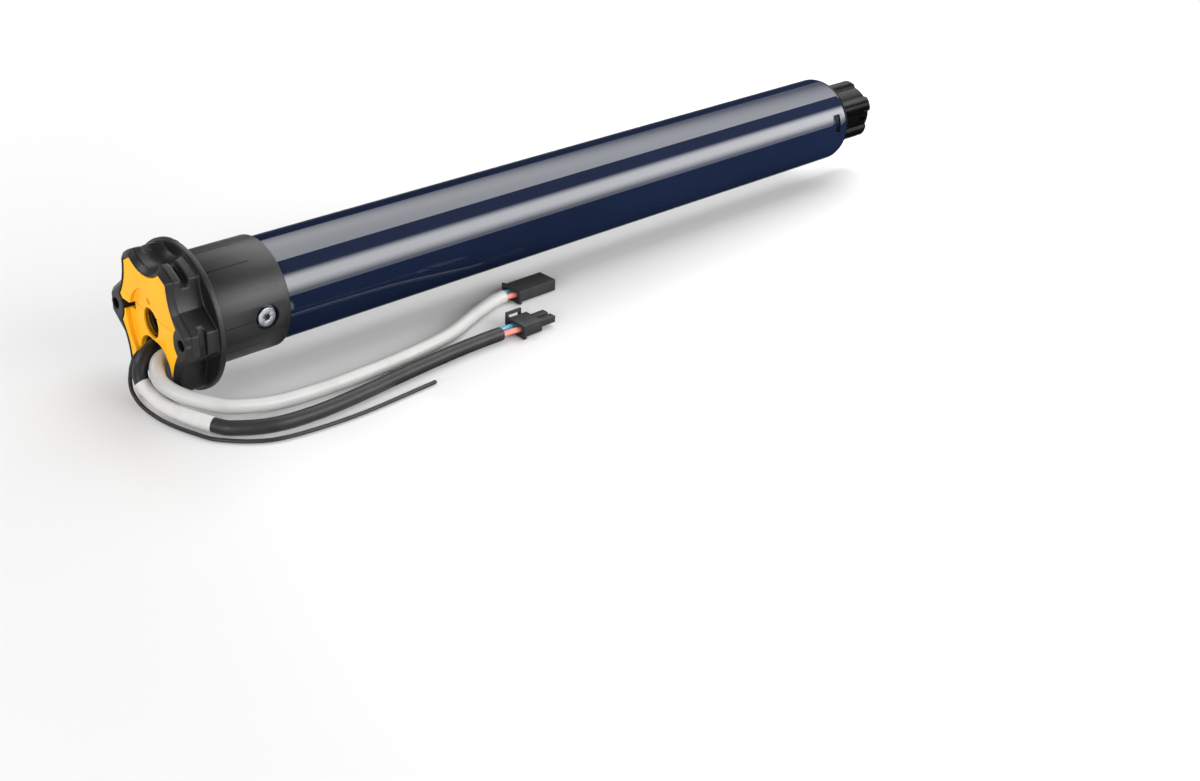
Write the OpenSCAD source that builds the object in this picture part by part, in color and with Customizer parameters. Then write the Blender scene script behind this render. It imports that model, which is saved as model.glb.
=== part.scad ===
// Tubular roller blind motor lying on its flange, tube axis along +X.
// Places along the axis are measured from the back face of the flange.

/* [Head] */
// Diameter of the flange
flange_d = 67; // [66.6:0.1:67.4]
// Thickness of the flange
flange_t = 2.6; // [2.2:0.1:3]
// Depth of the star in front of the flange
star_depth = 14.4; // [14.2:0.1:14.8]
// Distance between the two fixing holes
fixing_gap = 52; // [51.6:0.1:52.4]
// Diameter of the fixing holes
fixing_d = 5; // [4:0.1:5.4]
// Diameter of the central bore
head_bore_d = 12; // [10:0.1:12.6]
// Width of the black rim round the yellow covers
rim_w = 3; // [2.6:0.1:3.4]

/* [Tube] */
// Outer diameter of the tube
tube_d = 47; // [46.8:0.05:47.2]
// Wall of the tube
tube_wall = 1.2; // [1:0.05:1.4]
// Length of the tube
tube_len = 420.7; // [400:0.5:460]
// Length of the bearing sleeve
sleeve_len = 36.5; // [34:0.5:40]
// Wall of the bearing sleeve
sleeve_wall = 1.75; // [1.6:0.05:1.9]

/* [Gear train] */
// Tooth module of all stages
gear_module = 0.8; // [0.78:0.005:0.81]
// Face width of the first stage
first_w = 8; // [7:0.5:9]
// Face width of the second stage
second_w = 9; // [8:0.5:10]
// Face width of the third stage
third_w = 12; // [11:0.5:13]

/* [Motor] */
// Outer diameter of the motor can
can_d = 38; // [37:0.5:39]
// Length of the motor can
can_len = 80; // [76:1:84]
// Diameter of the motor shaft
shaft_d = 4; // [3.6:0.1:4.4]

/* [Drive shaft] */
// Length of the lobed stub outside the tube
stub_len = 30.4; // [26:0.2:34]
// Radius over the lobes
lobe_r = 17.2; // [16.6:0.1:17.8]
// Radius of the lands between the lobes
land_r = 13.8; // [13.4:0.1:14.2]
// Width of one lobe
lobe_w = 9; // [8:0.1:9.6]
// Diameter of the journal in the bush
journal_d = 21.8; // [21:0.1:22.4]

/* [Cords] */
// Diameter of the two cables
cable_d = 6.5; // [6.3:0.1:6.6]
// Diameter of the antenna wire
antenna_d = 1.8; // [1.6:0.1:1.8]

/* [Hidden] */
$fn = 96;

// Clearances: eps for clean cuts, fit for still pieces, run for turning ones
eps = 0.01;
fit = 0.05;
loose = 0.2;
run = 0.05;
play = 0.6;

// Head
flange_r = flange_d / 2;
star_front = -flange_t - star_depth;
star_half_w = 31.3;
star_chamfer = 2.3;
cover_r = 28.7;
star_r = cover_r + rim_w + 0.3;
cover_recess = 0.4;
cover_t = 5;
cover_front = star_front + cover_recess;
cover_seat = cover_front + cover_t;
seam_z = 4;
seam_gap = 0.15;
pry_y = 14.6;
pry_w = 10;
blind_z = 10;
blind_r = 1.5;
blind_floor = 0.6;
upper_recess_r = 15.2;
lower_recess_r = 27;
lower_recess_y = -8.5;
recess_depth = 1.25;
recess_tilt = 5.1;
cover_hole_r = 6.75;
cover_lip = 1.8;
cover_relief_r = 7.9;
notch_r = 16.5;
notch_z = 38.6;
scoop_end = -11;
arc_r = 29.1;
arc_dist = 51.4;
arc_angle = 27;
arm_root = 15;
arm_half_h = 5;
arm_slope = 51;
boss_notch_r = 8.6;
boss_notch_y = 28.4;
mouth_r = 11;
mouth_y = [-4.5, 2];
mouth_z = -18.5;
mouth_floor = -8;
groove_front = -10.9;
groove_w = 3.2;
groove_r = 29.2;
groove_middle = 30;
groove_span = 100;
web_back = 6;
head_bore_end = 4;
fixing_depth = 14;
grommet_y = [-4.5, 6];
grommet_z = -13.5;
grommet_r = 5;
grommet_flange_t = 1;
grommet_lip = 0.8;

// Tube and sleeve
tube_r = tube_d / 2;
bore_r = tube_r - tube_wall;
sleeve_r = tube_r + fit + sleeve_wall;
sleeve_bevel = 0.9;
spigot_r = bore_r - loose;
spigot_wall = 2.6;
spigot_end = 40;
seal_x = 35;
seal_r = 1.3;
screw_x = 25.3;
screw_head_d = 8.6;
screw_recess_d = 11.4;
screw_drive_d = 4.4;
screw_drive_h = 0.9;
screw_shank_d = 3.8;
screw_head_h = 1.4;
screw_in_r = 18.5;
slot_w = 4.2;
slot_len = 10;
slot_x = tube_len - 7.15;
slot_angle = 166.5;

// Places along the axis, from the tube's far end back to the head
cap_len = 24.7;
cap_x = tube_len - cap_len;
cap_rim_t = 2;
cap_rim_r = tube_r - 0.4;
cap_bevel = 0.6;
cap_pocket_r = 2;
ring_len = 58;
ring_x = cap_x - ring_len;
mount_len = 18;
mount_x = ring_x - mount_len;
can_x = mount_x - can_len;
tray_gap = 25;
tray_end = can_x - tray_gap;
board_len = tray_end - spigot_end;
stub_x = tube_len + cap_rim_t + 0.9;
tip_x = stub_x + stub_len;
mid_x = (star_front + tip_x) / 2;

// Gears: three equal stages of one sun, three planets and the ring
sun_teeth = 12;
planet_teeth = 18;
ring_teeth = sun_teeth + 2 * planet_teeth;
pressure_angle = 25;
tip_height = 0.85;
root_depth = 1.1;
tooth_relief = 0.04;
flank_steps = 3;
planet_dist = gear_module * (sun_teeth + planet_teeth) / 2;
ring_r = bore_r - loose;
pin_r = 2;
carrier_r = 17.6;
carrier_t = [3, 3.4, 5];
face_w = [first_w, second_w, third_w];
stage_gap = 1.4;
first_x = ring_x + 2;
second_x = first_x + first_w + play + carrier_t[0] + stage_gap;
third_x = second_x + second_w + play + carrier_t[1] + stage_gap;
stage_x = [first_x, second_x, third_x];
function carrier_x(stage) = stage_x[stage] + face_w[stage] + play;
dog_angle = 24;
dog_len = 3;

// Circuit board
board_z = -4;
board_t = 1.6;
board_half_w = spigot_r - 1;
board_top = board_z + board_t;
lead_inset = 6;
capacitor_r = 5;
capacitor_h = 12;
driver_size = [10, 8, 4.5];
driver_gap = 18;
chip_w = 14;
chip_h = 1.4;
radio_w = 10;
radio_h = 3;
choke_r = 6.6;
choke_hole_r = 3;
choke_h = 6;
terminal_size = [9.5, 16, 7];

// Motor
can_r = can_d / 2;
can_wall = 1.5;
can_front_t = 4;
can_boss_r = 5.5;
can_boss_h = 3;
shaft_r = shaft_d / 2;
shaft_rear_x = can_x - 16;
shaft_front_x = stage_x[0] + first_w;
magnet_t = 2.4;
magnet_r = can_r - can_wall - fit;
rotor_r = magnet_r - magnet_t - 0.8;
rotor_x = can_x + 18;
rotor_len = 44;
rotor_slots = 8;
winding_end = 5;
commutator_r = 5.5;
commutator_x = can_x + 2;
commutator_len = 9;
brush_gap = 0.15;
brush_w = 4;
brush_len = 6;
bush_r = 4.5;
mount_screw_r = 10;
mount_pocket_r = 3.2;
mount_pocket_len = 12;
damper_x = 4;
damper_len = 8;
damper_groove_r = 1.5;

// Drive shaft
lobe_count = 5;
lobe_turn = 7.5;
tip_chamfer = 2;
side_hole_r = 1.8;
side_hole_depth = 5;
side_hole_inset = 5;
journal_r = journal_d / 2;
bush_wall = 3;
tenon_w = 12;
tenon_len = 4;
clip_t = 1.2;
clip_x = cap_x - clip_t - play;
clip_groove = 1;
tip_hole_r = 2.1;
tip_hole_depth = 12;

// Cord routes: along the axis, across it, and height above the floor
white_route = [
    [-9, -4.5, 20], [-13.5, -6.5, 20.5], [-18, -8.5, 20], [-21, -12, 18], [-22.5, -16.5, 15.5],
    [-21.5, -21.5, 13.5], [-18.5, -26.5, 11.5], [-12, -33.5, 9], [-4.5, -39.5, 7], [13.5, -44, 4.5],
    [36, -45, 3.3], [59, -45, 3.3], [84.5, -43.5, 3.3], [112.5, -39, 3.3], [140, -28.5, 3.3], [160, -23.2, 3.3]
];
black_route = [
    [-9, 3.6, 21], [-14.5, 1, 22], [-20, -2, 21], [-23.5, -4, 18.5], [-25.6, -5.8, 15.5],
    [-26.2, -8.4, 12.5], [-25.4, -12.4, 9.5], [-23.4, -20.8, 6], [-19.6, -32.7, 4.5], [-14.6, -43, 3.5],
    [-10.3, -49.5, 3.3], [4.5, -58, 3.3], [24.5, -60.5, 3.3], [49, -59, 3.3], [75, -56, 3.3],
    [108, -53.2, 3.3], [132.5, -52.7, 3.3]
];
antenna_route = [
    [-9, 8, 18], [-14, 8, 18.5], [-20, 7, 17], [-22.5, 6.5, 13.5], [-23, 7.5, 9], [-23.5, 7.5, 5],
    [-25, 3.5, 2.5], [-26.5, -5.5, 0.9], [-27, -18, 0.9], [-25.5, -29, 0.9], [-22, -40.5, 0.9],
    [-17.5, -50.5, 0.9], [-3.5, -63, 0.9], [11.5, -67.5, 0.9], [40, -69.5, 0.9], [82.5, -67, 0.9]
];
cord_sides = 8;
core_d = 2.8;
core_side = 1.5;
core_pitch = 2.4;

// Connectors: back face, middle across the axis, and width
socket_x = 164.6;
socket_y = -23.2;
plug_x = 141.4;
plug_y = -52.7;
housing_w = 11.4;
housing_h = 5.8;
socket_len = 24.4;
plug_body_len = 12;
plug_finger_len = 9.6;
housing_flange = 1.4;
housing_wall = 1.1;
housing_lift = 0.5;
flange_side = 1.2;
rear_pocket = 2.5;
core_seat = 2.4;
contact_x = 4;
latch_x = 1.2;
latch_len = 9.2;
latch_gap = 1.6;
latch_t = 1.2;
latch_low = 2.2;
latch_h = 5.8;
latch_bar = 1.4;
contact_z = housing_lift + housing_h / 2;

// A solid of revolution's axis laid along X, starting at a place on it
module along_x(x) {
    translate([x, 0, 0]) rotate([0, 90, 0]) children();
}

module rod(x0, x1, r) {
    along_x(x0) cylinder(r = r, h = x1 - x0);
}

module pipe(x0, x1, r_out, r_in) {
    difference() {
        rod(x0, x1, r_out);
        rod(x0 - 1, x1 + 1, r_in);
    }
}

// An outline in the YZ plane drawn out along X
module drawn(x0, x1) {
    translate([x0, 0, 0]) rotate([90, 0, 90]) linear_extrude(x1 - x0) children();
}

// Part of a pipe: a sector centred on an angle from +Y toward +Z
module sector(x0, x1, r_out, r_in, middle, span) {
    drawn(x0, x1) intersection() {
        difference() {
            circle(r = r_out);
            circle(r = r_in);
        }
        polygon([[0, 0], for (a = [middle - span / 2, middle, middle + span / 2]) 3 * r_out * [cos(a), sin(a)]]);
    }
}

// A round cutter whose front flares out, for a chamfered edge
module flared_cut(x0, x1, r, flare) {
    rod(x0 - eps, x1, r);
    along_x(x0 - eps) cylinder(r1 = r + flare + eps, r2 = r, h = flare + eps);
}

// Everything about the tube axis is lifted so that the flange stands on the floor
module on_axis() {
    translate([-mid_x, 0, flange_r]) children();
}

module on_floor() {
    translate([-mid_x, 0, 0]) children();
}

module around(angles) {
    for (a = angles) rotate([a, 0, 0]) children();
}

// Outline of the covers, grown all round by a margin
module cover_outline(margin) {
    difference() {
        circle(r = cover_r + margin);
        translate([0, notch_z]) circle(r = notch_r - margin);
        for (a = [arc_angle, 180 - arc_angle, 180 + arc_angle, 360 - arc_angle])
            translate(arc_dist * [cos(a), sin(a)]) circle(r = arc_r - margin);
        for (side = [-1, 1]) translate([side * boss_notch_y, 0]) circle(r = boss_notch_r - margin);
    }
}

// Arch that the cords leave through, open at the bottom
module mouth_outline(margin) {
    r = mouth_r - margin;
    for (y = mouth_y) translate([y, mouth_z]) circle(r = r);
    translate([mouth_y[0], mouth_z]) square([mouth_y[1] - mouth_y[0], r]);
    translate([mouth_y[0] - r, mouth_z - 30]) square([mouth_y[1] - mouth_y[0] + 2 * r, 30]);
}

module grommet_outline(margin) {
    for (y = grommet_y) translate([y, grommet_z]) circle(r = grommet_r + margin);
    translate([grommet_y[0], grommet_z - grommet_r - margin])
        square([grommet_y[1] - grommet_y[0], 2 * (grommet_r + margin)]);
}

// Straight-sided arm for a fixing hole, with its end and both slopes chamfered at the front
module fixing_arm() {
    slope_reach = star_half_w * cos(arm_slope) + arm_half_h * sin(arm_slope);
    root_half_h = (slope_reach - arm_root * cos(arm_slope)) / sin(arm_slope);
    difference() {
        drawn(star_front, -flange_t + eps) polygon([[arm_root, -root_half_h], [star_half_w, -arm_half_h],
            [star_half_w, arm_half_h], [arm_root, root_half_h]]);
        for (face = [[0, star_half_w], [arm_slope, slope_reach], [-arm_slope, slope_reach]])
            rotate([face[0], 0, 0]) translate([star_front, face[1] - star_chamfer, 0]) rotate([0, 0, 45])
                translate([-20, 0, -30]) cube([40, 20, 60]);
    }
}

module star_body() {
    back = -flange_t + eps;
    difference() {
        intersection() {
            union() {
                rod(star_front + star_chamfer, back, star_r);
                along_x(star_front) cylinder(r1 = star_r - star_chamfer, r2 = star_r, h = star_chamfer + eps);
            }
            translate([star_front - 1, -star_half_w, -star_r - 1])
                cube([-star_front + 2, 2 * star_half_w, 2 * star_r + 2]);
        }
        translate([0, 0, notch_z]) {
            flared_cut(star_front, scoop_end, notch_r - rim_w, star_chamfer);
            translate([scoop_end, 0, 0]) sphere(r = notch_r - rim_w);
        }
        for (a = [arc_angle, 180 - arc_angle, 180 + arc_angle, 360 - arc_angle])
            translate([0, arc_dist * cos(a), arc_dist * sin(a)])
                flared_cut(star_front, back + 1, arc_r - rim_w, star_chamfer);
    }
    fixing_arm();
    mirror([0, 1, 0]) fixing_arm();
}

module star_head() {
    color("#232426") on_axis() difference() {
        union() {
            star_body();
            rod(-flange_t, 0, flange_r);
            rod(-eps, web_back, spigot_r);
            pipe(web_back - eps, spigot_end, spigot_r, spigot_r - spigot_wall);
        }
        drawn(star_front - 1, cover_seat) cover_outline(fit);
        drawn(star_front - 1, mouth_floor) mouth_outline(0);
        drawn(mouth_floor - 1, web_back + 1) grommet_outline(fit);
        rod(cover_seat - 1, head_bore_end, head_bore_d / 2);
        for (side = [-1, 1]) {
            translate([0, side * fixing_gap / 2, 0])
                rod(star_front - 1, star_front + fixing_depth, fixing_d / 2);
            sector(groove_front, groove_front + groove_w, flange_r + 3, groove_r,
                90 - side * (90 - groove_middle), groove_span);
            translate([screw_x, side * (screw_in_r - 1), 0]) rotate([-side * 90, 0, 0])
                cylinder(d = screw_shank_d + 2 * fit, h = spigot_r);
        }
        pipe(seal_x - seal_r, seal_x + seal_r, spigot_r + 1, bore_r - 2 * seal_r);
    }
}

// Both covers before they part at the seam
module cover_blank() {
    difference() {
        drawn(cover_front, cover_seat) cover_outline(-fit);
        rod(cover_front - 1, cover_seat + 1, cover_hole_r);
        rod(cover_front + recess_depth + cover_lip, cover_seat + 1, cover_relief_r);
        drawn(cover_front - 1, cover_seat + 1) mouth_outline(0);
    }
}

// Recess round the hole. Its floor is a ramp, deepest beside the far arm and flush towards the near one.
module recess(r, middle_y, rise) {
    intersection() {
        translate([0, middle_y, 0]) rod(cover_front - 1, cover_seat, r);
        translate([cover_front + recess_depth, 0, seam_z]) rotate([0, -rise, -recess_tilt])
            translate([-20, -60, -60]) cube([20, 120, 120]);
    }
}

module upper_cover() {
    color("#FFC23A") on_axis() difference() {
        cover_blank();
        recess(upper_recess_r, 0, recess_tilt);
        translate([star_front - 1, -40, seam_z - 80 + seam_gap / 2]) cube([20, 80, 80]);
        translate([0, 0, blind_z]) rod(cover_front - 1, cover_seat - blind_floor, blind_r);
    }
}

module lower_cover() {
    color("#FFC23A") on_axis() difference() {
        cover_blank();
        recess(lower_recess_r, lower_recess_y, 0);
        translate([star_front - 1, -40, seam_z - seam_gap / 2]) cube([20, 80, 80]);
        translate([star_front - 1, pry_y, 0]) cube([20, pry_w, seam_z + 1]);
        translate([star_front - 1, mouth_y[0] - 2 * mouth_r, mouth_z - 20]) cube([20, 2 * mouth_r, 20]);
    }
}

module cable_grommet() {
    color("#1A1A1B") on_axis() {
        drawn(mouth_floor - grommet_flange_t, mouth_floor) intersection() {
            grommet_outline(grommet_lip);
            mouth_outline(loose);
        }
        drawn(mouth_floor - eps, web_back) grommet_outline(0);
    }
}

module bearing_sleeve() {
    color("#2C2C2E") on_axis() difference() {
        union() {
            rod(0, sleeve_len, sleeve_r);
            along_x(sleeve_len - eps) cylinder(r1 = sleeve_r, r2 = sleeve_r - sleeve_bevel, h = sleeve_bevel);
        }
        rod(-1, sleeve_len + 2, tube_r + fit);
        for (side = [-1, 1]) translate([screw_x, 0, 0]) rotate([side * 90, 0, 0])
            cylinder(d = screw_recess_d, h = sleeve_r + 5);
    }
}

module sleeve_screws() {
    color("#C9CCCE") on_axis() for (side = [-1, 1]) translate([screw_x, 0, 0]) rotate([side * 90, 0, 0]) {
        difference() {
            translate([0, 0, tube_r]) cylinder(d = screw_head_d, h = screw_head_h);
            translate([0, 0, tube_r + screw_head_h - screw_drive_h])
                cylinder(d = screw_drive_d, h = 2, $fn = 6);
        }
        translate([0, 0, screw_in_r]) cylinder(d = screw_shank_d, h = tube_r - screw_in_r + eps);
    }
}

module head_seal() {
    color("#1A1A1B") on_axis() along_x(seal_x)
        rotate_extrude() translate([bore_r - seal_r, 0]) circle(r = seal_r);
}

// Rounded slot cutter through the tube wall, lying along the tube's round
module slot_cut(margin) {
    round_r = 1.2;
    w = slot_w + 2 * margin;
    l = slot_len + 2 * margin;
    rotate([0, 90, 0]) linear_extrude(tube_r + 5) {
        square([w - 2 * round_r, l], center = true);
        square([w, l - 2 * round_r], center = true);
        for (i = [-1, 1], j = [-1, 1])
            translate([i * (w / 2 - round_r), j * (l / 2 - round_r)]) circle(r = round_r);
    }
}

module at_slots() {
    for (k = [0:2])
        translate([slot_x, 0, 0]) rotate([slot_angle + 120 * k, 0, 0]) rotate([0, 0, 90]) children();
}

module motor_tube() {
    color("#1C2847") on_axis() difference() {
        pipe(0, tube_len, tube_r, bore_r);
        at_slots() rotate([90, 0, 0]) slot_cut(0);
        for (side = [-1, 1]) translate([screw_x, 0, 0]) rotate([side * 90, 0, 0])
            cylinder(d = screw_shank_d + 2 * fit, h = tube_r + 5);
    }
}

// Plastic trough that carries the board, with ribs across it
module board_tray() {
    outer = spigot_r;
    color("#3A3A3C") on_axis() difference() {
        union() {
            pipe(spigot_end, tray_end, outer, outer - 1.8);
            for (k = [0:4])
                translate([spigot_end + k * (board_len - 2) / 4, 0, 0]) rod(0, 2, outer - 1);
        }
        translate([spigot_end - 1, -outer - 1, board_z]) cube([board_len + 2, 2 * outer + 2, 2 * outer]);
        translate([spigot_end - 1, -6, -12]) cube([board_len + 2, 12, 20]);
    }
}

module circuit_board() {
    color("#1F6B3A") on_axis() difference() {
        translate([spigot_end + 1, -board_half_w, board_z])
            cube([board_len - 2, 2 * board_half_w, board_t]);
        for (k = [0, 1], side = [-1, 1])
            translate([spigot_end + 6 + k * (board_len - 12), side * (board_half_w - 4), board_z - 1])
                cylinder(d = 3, h = board_t + 2, $fn = 32);
    }
}

// Chips, capacitors, choke and connectors, spaced along the board
module board_parts() {
    color("#2B2B2E") on_axis() translate([spigot_end, 0, board_top]) {
        for (k = [0:2]) translate([(0.16 + 0.08 * k) * board_len, 1.6 * capacitor_r, 0])
            cylinder(r = capacitor_r, h = capacitor_h);
        for (side = [-1, 1]) translate([0.46 * board_len, side * driver_gap / 2 - driver_size[1] / 2, 0])
            cube(driver_size);
        translate([0.6 * board_len, -chip_w / 2, 0]) cube([0.08 * board_len, chip_w, chip_h]);
        translate([0.15 * board_len, -1.4 * radio_w, 0]) cube([0.15 * board_len, radio_w, radio_h]);
        translate([0.76 * board_len, -0.9 * choke_r, 0]) difference() {
            cylinder(r = choke_r, h = choke_h);
            translate([0, 0, -1]) cylinder(r = choke_hole_r, h = choke_h + 2);
        }
        translate([lead_inset, -terminal_size[1] / 2, 0]) cube(terminal_size);
        translate([board_len - lead_inset - terminal_size[0], -terminal_size[1] / 2, 0]) cube(terminal_size);
    }
}

// Two leads from the board's last connector to the motor's rear cap
module inner_leads() {
    x0 = tray_end - lead_inset;
    x1 = can_x - 4;
    color("#B8322A") on_axis() for (side = [-1, 1])
        sweep([[x0, side * 5, 1.5], [x0 + 6, side * 7, 2], [(x0 + x1) / 2, side * 11, 3],
            [x1 - 6, side * 12, 3.5], [x1, side * 12, 3.5]], 0.9, [1, 0, 0], [1, 0, 0]);
}

module motor_can() {
    color("#8F9396") on_axis() difference() {
        union() {
            rod(can_x, can_x + can_len, can_r);
            rod(can_x + can_len - eps, can_x + can_len + can_boss_h, can_boss_r);
        }
        rod(can_x - 1, can_x + can_len - can_front_t, can_r - can_wall);
        rod(can_x, can_x + can_len + can_boss_h + 1, bush_r + fit);
        for (side = [-1, 1]) translate([0, 0, side * mount_screw_r])
            rod(can_x + can_len - can_front_t - 1, can_x + can_len + 1, 1.5 + fit);
    }
}

module field_magnets() {
    color("#4A4A4E") on_axis() for (middle = [0, 180])
        sector(rotor_x - 4, rotor_x + rotor_len + 4, magnet_r, magnet_r - magnet_t, middle, 130);
}

module rear_motor_cap() {
    arm_x = commutator_x + commutator_len - 1;
    color("#DAD8D0") on_axis() difference() {
        union() {
            rod(can_x - 1.5, can_x, can_r);
            rod(can_x - eps, can_x + 2, can_r - can_wall - fit);
            rod(can_x - 5, can_x, 8);
            for (side = [-1, 1]) translate([can_x - eps, side * 10 - 3.5, -brush_w / 2 - 1.2])
                cube([arm_x - can_x, 7, brush_w + 2.4]);
            for (side = [-1, 1]) translate([can_x - 4, side * 12 - 1.5, 2]) cube([4, 3, 3]);
        }
        rod(can_x - 6, can_x + 3, bush_r + fit);
        for (side = [-1, 1]) translate([commutator_x + 1, side * 10 - 4, -brush_w / 2 - fit])
            cube([brush_len + 2 * fit, 8, brush_w + 2 * fit]);
    }
}

module brushes() {
    color("#38383A") on_axis() for (side = [-1, 1]) difference() {
        translate([commutator_x + 1 + fit, side * 8.5 - 4.5, -brush_w / 2]) cube([brush_len, 9, brush_w]);
        rod(commutator_x, commutator_x + commutator_len, commutator_r + brush_gap);
        translate([commutator_x, -side * 6 - 6, -brush_w]) cube([commutator_len, 12, 2 * brush_w]);
    }
}

module motor_bushes() {
    front_x = can_x + can_len - can_front_t;
    color("#B08A45") on_axis() {
        pipe(can_x - 5, can_x + 1.5, bush_r, shaft_r + run);
        pipe(front_x, front_x + can_front_t + can_boss_h, bush_r, shaft_r + run);
    }
}

module rubber_ring() {
    groove_line = bore_r + 0.4;
    color("#1A1A1B") on_axis() difference() {
        pipe(can_x + damper_x, can_x + damper_x + damper_len, bore_r - fit, can_r + fit);
        for (k = [0:11]) translate([0, groove_line * cos(30 * k), groove_line * sin(30 * k)])
            rod(can_x, can_x + damper_x + damper_len + 1, damper_groove_r);
    }
}

module motor_shaft() {
    color("#C9CCCE") on_axis() rod(shaft_rear_x, shaft_front_x, shaft_r);
}

// Laminated core with open slots for the windings
module rotor_outline() {
    difference() {
        circle(r = rotor_r);
        circle(r = shaft_r + fit);
        for (k = [0:rotor_slots - 1]) rotate(360 / rotor_slots * k) {
            translate([rotor_r - 4.6, 0]) circle(r = 2.9);
            translate([rotor_r - 3, -0.9]) square([4, 1.8]);
        }
    }
}

module rotor_core() {
    color("#6E7174") on_axis() drawn(rotor_x, rotor_x + rotor_len) rotor_outline();
}

// Copper in the slots, joined by a ring of end turns on each side
module rotor_windings() {
    color("#B5652B") on_axis() {
        for (k = [0:rotor_slots - 1]) rotate([360 / rotor_slots * k, 0, 0]) translate([0, rotor_r - 4.6, 0])
            rod(rotor_x - fit - eps, rotor_x + rotor_len + fit + eps, 2.7);
        for (x = [rotor_x - fit - winding_end, rotor_x + rotor_len + fit])
            pipe(x, x + winding_end, rotor_r - 1.2, shaft_r + 3);
    }
}

module commutator() {
    color("#C27A3A") on_axis() difference() {
        pipe(commutator_x, commutator_x + commutator_len, commutator_r, shaft_r + fit);
        for (k = [0:7]) rotate([45 * k + 22.5, 0, 0])
            translate([commutator_x - 1, commutator_r - 0.7, -0.2]) cube([commutator_len - 1, 2, 0.4]);
    }
}

module encoder_magnet() {
    color("#2F2F33") on_axis() pipe(shaft_rear_x + 1, shaft_rear_x + 6, 6, shaft_r + fit);
}

// Involute gear outline. The angle half of a tooth takes up is worked out from the radius.
function involute(a) = tan(a) * 180 / PI - a;
function half_tooth(r, base_r, pitch_r, teeth, relief) =
    90 / teeth - relief / pitch_r * 180 / PI + involute(pressure_angle) - involute(acos(min(1, base_r / r)));
function gear_points(teeth, tip, root, relief) =
    let (pitch_r = gear_module * teeth / 2)
    let (base_r = pitch_r * cos(pressure_angle))
    let (root_r = pitch_r - root * gear_module)
    let (tip_r = pitch_r + tip * gear_module)
    let (low_r = max(base_r, root_r))
    let (radii = [for (i = [0:flank_steps]) low_r + (tip_r - low_r) * i / flank_steps])
    let (flank = [for (r = radii) [r, half_tooth(r, base_r, pitch_r, teeth, relief)]])
    let (foot = root_r < base_r ? [[root_r, flank[0][1]]] : [])
    let (side = concat(foot, flank))
    [for (k = [0:teeth - 1]) each concat(
        [for (p = side) p[0] * [cos(360 * k / teeth - p[1]), sin(360 * k / teeth - p[1])]],
        [for (i = [len(side) - 1:-1:0]) side[i][0]
            * [cos(360 * k / teeth + side[i][1]), sin(360 * k / teeth + side[i][1])]])];

module gear_outline(teeth) {
    polygon(gear_points(teeth, tip_height, root_depth, tooth_relief));
}

// Space inside the ring gear: a gear outline with the tooth heights swapped
module ring_space() {
    rotate(180 / ring_teeth) polygon(gear_points(ring_teeth, root_depth, tip_height, -tooth_relief));
}

module sun_pinion() {
    color("#C2A052") on_axis() drawn(stage_x[0] - 0.5, shaft_front_x) difference() {
        gear_outline(sun_teeth);
        circle(r = shaft_r + fit / 2);
    }
}

// Dogs that lock the ring gear to its neighbours
module dogs(x0, x1, margin) {
    for (k = [0:2])
        sector(x0, x1, ring_r - 0.6 + margin, ring_r - 2.6 - margin, 30 + 120 * k, dog_angle + 4 * margin);
}

module motor_mount() {
    color("#3A3A3C") on_axis() difference() {
        rod(mount_x, ring_x, ring_r);
        rod(mount_x - 1, mount_x + can_boss_h + fit, can_boss_r + fit);
        rod(mount_x, ring_x + 1, shaft_r + 1.5);
        for (side = [-1, 1]) translate([0, 0, side * mount_screw_r]) {
            rod(mount_x - 1, ring_x + 1, 1.5 + fit);
            rod(mount_x + 8, ring_x + 1, 3);
        }
        around([0:60:300]) translate([0, (ring_r + mount_screw_r) / 2, 0])
            rod(mount_x - 1, mount_x + mount_pocket_len, mount_pocket_r);
        dogs(ring_x - dog_len - fit, ring_x + 1, fit);
    }
}

module mount_screws() {
    color("#C9CCCE") on_axis() for (side = [-1, 1]) translate([0, 0, side * mount_screw_r]) {
        rod(mount_x - can_front_t + 0.5, mount_x + 8 + eps, 1.5);
        difference() {
            rod(mount_x + 8, mount_x + 11, 2.75);
            along_x(mount_x + 9.5) cylinder(r = 1.4, h = 3, $fn = 6);
        }
    }
}

module ring_gear() {
    color("#8F9396") on_axis() {
        drawn(ring_x, cap_x) difference() {
            circle(r = ring_r);
            ring_space();
        }
        dogs(ring_x - dog_len, ring_x + eps, 0);
        dogs(cap_x - eps, cap_x + dog_len, 0);
    }
}

// Carrier plate with pin holes and windows
module carrier_plate(stage) {
    x0 = carrier_x(stage);
    difference() {
        rod(x0, x0 + carrier_t[stage], carrier_r);
        around([0, 120, 240]) translate([0, planet_dist, 0]) rod(x0 - 1, x0 + 9, pin_r + fit / 2);
        around([60, 180, 300]) translate([0, planet_dist + 0.6, 0]) rod(x0 - 1, x0 + 9, 3);
    }
}

// Carrier with the next stage's sun on it
module sun_carrier(stage) {
    x0 = carrier_x(stage) + carrier_t[stage];
    carrier_plate(stage);
    drawn(x0 - eps, carrier_x(stage + 1) - 0.3) gear_outline(sun_teeth);
}

module stage_pins(stage) {
    around([0, 120, 240]) translate([0, planet_dist, 0])
        rod(stage_x[stage], carrier_x(stage) + carrier_t[stage], pin_r);
}

// One planet, turned so that its teeth mesh with the sun and the ring
module planet(stage, place) {
    angle = 120 * (place - 1);
    on_axis() drawn(stage_x[stage], stage_x[stage] + face_w[stage])
        rotate(angle) translate([planet_dist, 0]) rotate(180 + 180 / planet_teeth) difference() {
            gear_outline(planet_teeth);
            circle(r = pin_r + run);
        }
}

module first_carrier() {
    color("#B9B6AE") on_axis() sun_carrier(0);
}

module second_carrier() {
    color("#8F9396") on_axis() sun_carrier(1);
}

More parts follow.
